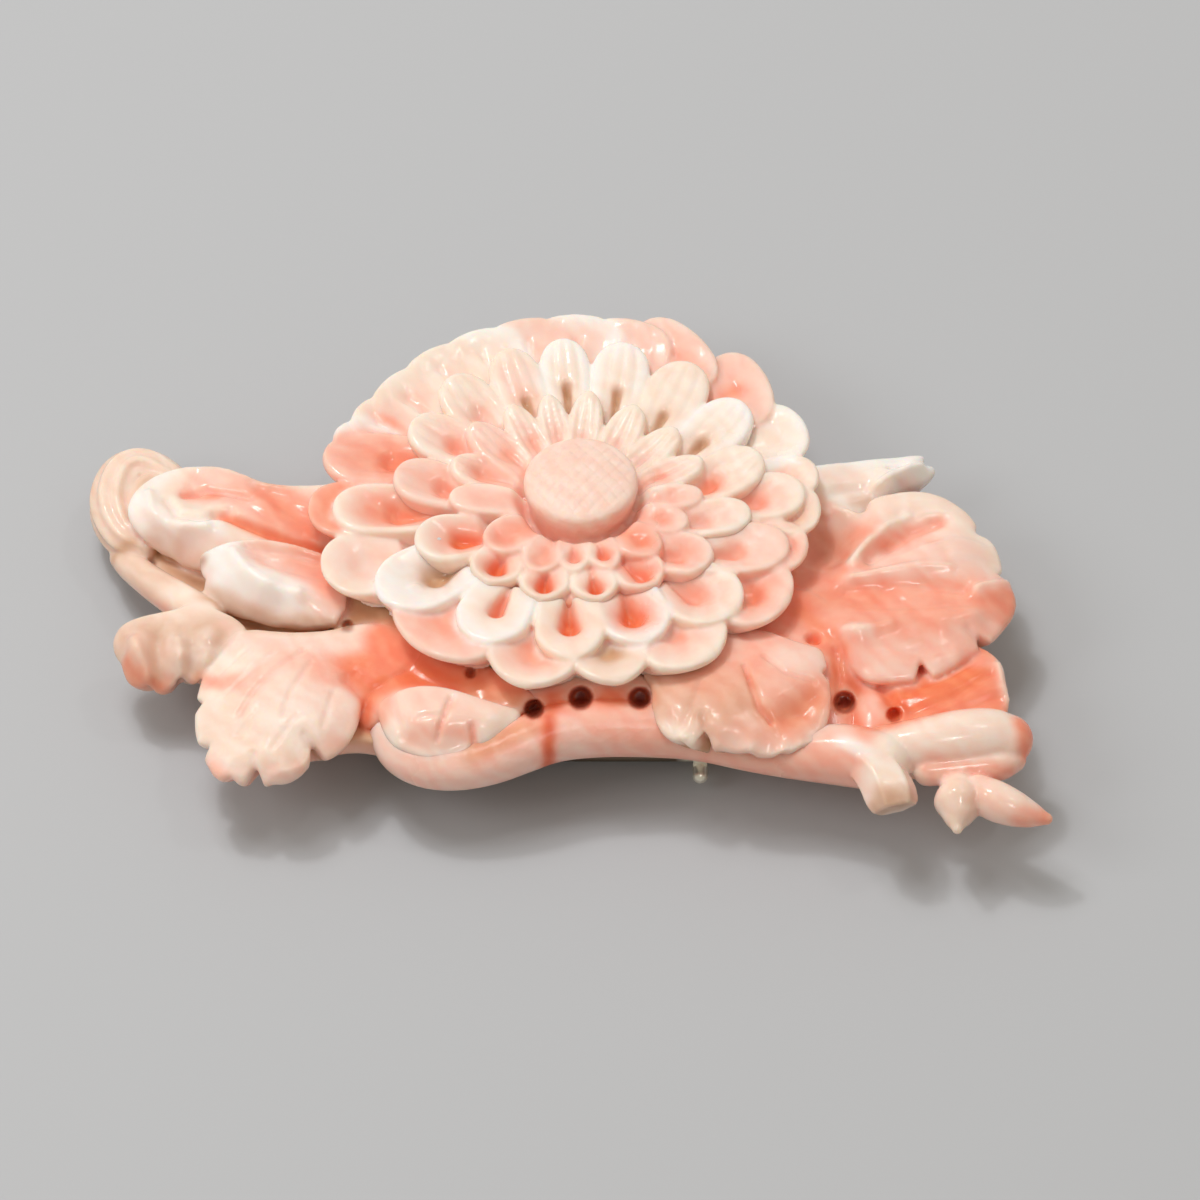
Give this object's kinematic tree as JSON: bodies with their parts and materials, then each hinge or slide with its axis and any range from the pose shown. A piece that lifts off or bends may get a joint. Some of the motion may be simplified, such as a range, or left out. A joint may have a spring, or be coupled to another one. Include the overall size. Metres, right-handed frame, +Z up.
{
  "type": "carved coral flower brooch",
  "caption": "Brooch carved from one piece of coral as a chrysanthemum over a leafy arched branch with buds, with a metal pin fitting on its flat back, lying face up.",
  "frame": {"origin": "on the surface that the brooch lies on, under the middle of its outline", "axes": "+X along the branch from the curl to the buds, +Y from the branch towards the top of the flower, +Z up out of the surface"},
  "size_m": [0.07, 0.0445, 0.0114],
  "materials": {
    "coral": "polished pale pink coral with salmon and orange patches",
    "pin_metal": "worn silver plate"
  },
  "bodies": {
    "root": {"coral_carving": "coral", "pin_back": "pin_metal"}
  },
  "joints": []
}
